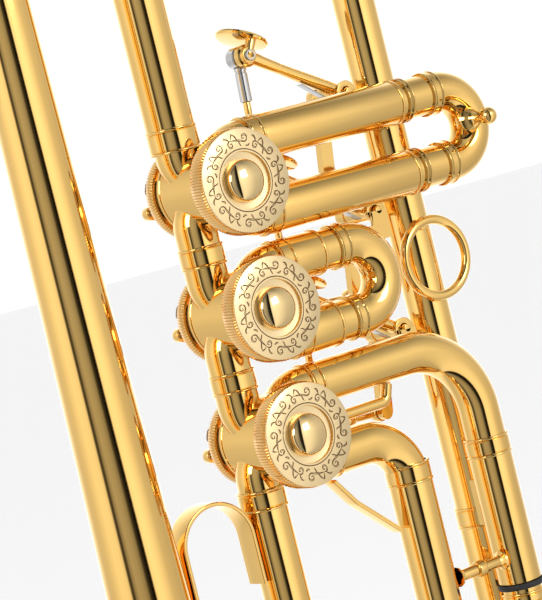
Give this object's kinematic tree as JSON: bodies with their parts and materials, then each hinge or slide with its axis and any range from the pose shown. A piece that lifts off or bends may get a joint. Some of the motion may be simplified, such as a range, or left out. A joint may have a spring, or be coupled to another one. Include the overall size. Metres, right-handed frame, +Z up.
{
  "type": "trumpet",
  "caption": "Rotary valve trumpet in gold brass: rotary valves with engraved screw caps, levers, pull-out slides, flared bell, mouthpiece.",
  "frame": {"origin": "centre of the bounding box's underside, in the plane of the bell's rim, with the trumpet standing on its bell", "axes": "+Z up the bell and leadpipe towards the mouthpiece, +X from the bell towards the leadpipe and the pulled ends of the valve slides, -Y the way the three valve caps face"},
  "size_m": [0.2208, 0.13, 0.58],
  "materials": {
    "gold_brass": "polished",
    "satin_gold": "satin",
    "nickel": "polished",
    "steel": "satin",
    "rubber": "matt",
    "cork": "matt"
  },
  "bodies": {
    "frame": {"bell": "gold_brass", "bell_bow": "gold_brass", "valve_to_bell_tube": "gold_brass", "knuckle_1_2": "gold_brass", "knuckle_2_3": "gold_brass", "inlet_tube": "gold_brass", "leadpipe": "gold_brass", "mouthpiece_receiver": "gold_brass", "slide_1_upper_sleeve": "gold_brass", "slide_1_lower_sleeve": "gold_brass", "slide_2_upper_sleeve": "gold_brass", "slide_2_lower_sleeve": "gold_brass", "slide_3_outer_sleeve": "gold_brass", "slide_3_inner_sleeve": "gold_brass", "finger_ring": "gold_brass", "bell_strap": "gold_brass", "slide_brace": "gold_brass", "side_strap": "gold_brass", "leg_brace": "gold_brass", "leadpipe_saddle": "gold_brass", "slide_bumper_ring": "rubber", "valve_casing_1": "gold_brass", "bearing_plate_1": "gold_brass", "valve_cap_1": "satin_gold", "stop_bumper_1": "cork", "lever_bracket_1": "gold_brass", "valve_casing_2": "gold_brass", "bearing_plate_2": "gold_brass", "valve_cap_2": "satin_gold", "stop_bumper_2": "cork", "lever_bracket_2": "gold_brass", "valve_casing_3": "gold_brass", "bearing_plate_3": "gold_brass", "valve_cap_3": "satin_gold", "stop_bumper_3": "cork", "lever_bracket_3": "gold_brass"},
    "main_slide": {"main_slide": "gold_brass"},
    "water_key": {"water_key": "gold_brass"},
    "slide_1": {"slide_1": "gold_brass"},
    "slide_2": {"slide_2": "gold_brass"},
    "slide_3": {"slide_3": "gold_brass"},
    "mouthpiece": {"mouthpiece": "gold_brass"},
    "rotor_1": {"rotor_1": "steel", "stop_arm_1": "nickel"},
    "lever_1": {"lever_1": "gold_brass"},
    "link_1": {"link_1": "gold_brass"},
    "plunger_sleeve_1": {"plunger_sleeve_1": "nickel"},
    "plunger_rod_1": {"plunger_rod_1": "gold_brass"},
    "rotor_2": {"rotor_2": "steel", "stop_arm_2": "nickel"},
    "lever_2": {"lever_2": "gold_brass"},
    "link_2": {"link_2": "gold_brass"},
    "plunger_sleeve_2": {"plunger_sleeve_2": "nickel"},
    "plunger_rod_2": {"plunger_rod_2": "gold_brass"},
    "rotor_3": {"rotor_3": "steel", "stop_arm_3": "nickel"},
    "lever_3": {"lever_3": "gold_brass"},
    "link_3": {"link_3": "gold_brass"},
    "plunger_sleeve_3": {"plunger_sleeve_3": "nickel"},
    "plunger_rod_3": {"plunger_rod_3": "gold_brass"}
  },
  "joints": [
    {"name": "main_slide_pull", "type": "slide", "parent": "frame", "child": "main_slide", "axis": [0, 0, -1], "range_m": [0, 0.03]},
    {"name": "slide_1_pull", "type": "slide", "parent": "frame", "child": "slide_1", "axis": [1, 0, 0], "range_m": [0, 0.03]},
    {"name": "slide_2_pull", "type": "slide", "parent": "frame", "child": "slide_2", "axis": [1, 0, 0], "range_m": [0, 0.009]},
    {"name": "slide_3_pull", "type": "slide", "parent": "frame", "child": "slide_3", "axis": [0, 0, -1], "range_m": [0, 0.025]},
    {"name": "mouthpiece_pull", "type": "slide", "parent": "frame", "child": "mouthpiece", "axis": [0, 0, 1], "range_m": [0, 0.03]},
    {"name": "water_key_hinge", "type": "hinge", "parent": "main_slide", "child": "water_key", "pos_m": [0.05214, 0.00916, 0.06503], "axis": [0.1695, -0.9855, 0], "range_deg": [0, 12], "stiffness_Nm_per_rad": 0.12, "springref_deg": -8.59},
    {"name": "lever_1_press", "type": "hinge", "parent": "frame", "child": "lever_1", "pos_m": [0.06865, 0.0115, 0.3615], "axis": [0, -1, 0], "range_deg": [0, 16.5], "stiffness_Nm_per_rad": 0.25, "springref_deg": -14.32},
    {"name": "rotor_1_turn", "type": "hinge", "parent": "frame", "child": "rotor_1", "pos_m": [0.00605, 0, 0.3444], "axis": [0, -1, 0], "range_deg": [0, 90]},
    {"name": "link_1_pin", "type": "hinge", "parent": "lever_1", "child": "link_1", "pos_m": [0.06511, 0.0266, 0.33712], "axis": [0, -1, 0], "range_deg": [-16.5, 0]},
    {"name": "plunger_sleeve_1_pin", "type": "hinge", "parent": "lever_1", "child": "plunger_sleeve_1", "pos_m": [0.03795, 0.0154, 0.3786], "axis": [0, -1, 0], "range_deg": [-5.3, 0]},
    {"name": "plunger_rod_1_foot", "type": "hinge", "parent": "frame", "child": "plunger_rod_1", "pos_m": [0.03645, 0.0154, 0.3538], "axis": [0, -1, 0], "range_deg": [0, 11.22]},
    {"name": "lever_2_press", "type": "hinge", "parent": "frame", "child": "lever_2", "pos_m": [0.06865, 0.0115, 0.3251], "axis": [0, -1, 0], "range_deg": [0, 16.5], "stiffness_Nm_per_rad": 0.25, "springref_deg": -14.32},
    {"name": "rotor_2_turn", "type": "hinge", "parent": "frame", "child": "rotor_2", "pos_m": [0.00605, 0, 0.308], "axis": [0, -1, 0], "range_deg": [0, 90]},
    {"name": "link_2_pin", "type": "hinge", "parent": "lever_2", "child": "link_2", "pos_m": [0.06511, 0.0266, 0.30072], "axis": [0, -1, 0], "range_deg": [-16.5, 0]},
    {"name": "plunger_sleeve_2_pin", "type": "hinge", "parent": "lever_2", "child": "plunger_sleeve_2", "pos_m": [0.03795, 0.0154, 0.3422], "axis": [0, -1, 0], "range_deg": [-5.3, 0]},
    {"name": "plunger_rod_2_foot", "type": "hinge", "parent": "frame", "child": "plunger_rod_2", "pos_m": [0.03645, 0.0154, 0.3174], "axis": [0, -1, 0], "range_deg": [0, 11.22]},
    {"name": "lever_3_press", "type": "hinge", "parent": "frame", "child": "lever_3", "pos_m": [0.06865, 0.0115, 0.2887], "axis": [0, -1, 0], "range_deg": [0, 16.5], "stiffness_Nm_per_rad": 0.25, "springref_deg": -14.32},
    {"name": "rotor_3_turn", "type": "hinge", "parent": "frame", "child": "rotor_3", "pos_m": [0.00605, 0, 0.2716], "axis": [0, -1, 0], "range_deg": [0, 90]},
    {"name": "link_3_pin", "type": "hinge", "parent": "lever_3", "child": "link_3", "pos_m": [0.06511, 0.0266, 0.26432], "axis": [0, -1, 0], "range_deg": [-16.5, 0]},
    {"name": "plunger_sleeve_3_pin", "type": "hinge", "parent": "lever_3", "child": "plunger_sleeve_3", "pos_m": [0.03795, 0.0154, 0.3058], "axis": [0, -1, 0], "range_deg": [-5.3, 0]},
    {"name": "plunger_rod_3_foot", "type": "hinge", "parent": "frame", "child": "plunger_rod_3", "pos_m": [0.03645, 0.0154, 0.281], "axis": [0, -1, 0], "range_deg": [0, 11.22]}
  ],
  "couplings": [
    {"joint": "rotor_1_turn", "follows": "lever_1_press", "ratio": 5.4546},
    {"joint": "link_1_pin", "follows": "lever_1_press", "ratio": -1},
    {"joint": "plunger_sleeve_1_pin", "follows": "lever_1_press", "ratio": -0.32058},
    {"joint": "plunger_rod_1_foot", "follows": "lever_1_press", "ratio": 0.67942},
    {"joint": "rotor_2_turn", "follows": "lever_2_press", "ratio": 5.4546},
    {"joint": "link_2_pin", "follows": "lever_2_press", "ratio": -1},
    {"joint": "plunger_sleeve_2_pin", "follows": "lever_2_press", "ratio": -0.32058},
    {"joint": "plunger_rod_2_foot", "follows": "lever_2_press", "ratio": 0.67942},
    {"joint": "rotor_3_turn", "follows": "lever_3_press", "ratio": 5.4546},
    {"joint": "link_3_pin", "follows": "lever_3_press", "ratio": -1},
    {"joint": "plunger_sleeve_3_pin", "follows": "lever_3_press", "ratio": -0.32058},
    {"joint": "plunger_rod_3_foot", "follows": "lever_3_press", "ratio": 0.67942}
  ]
}
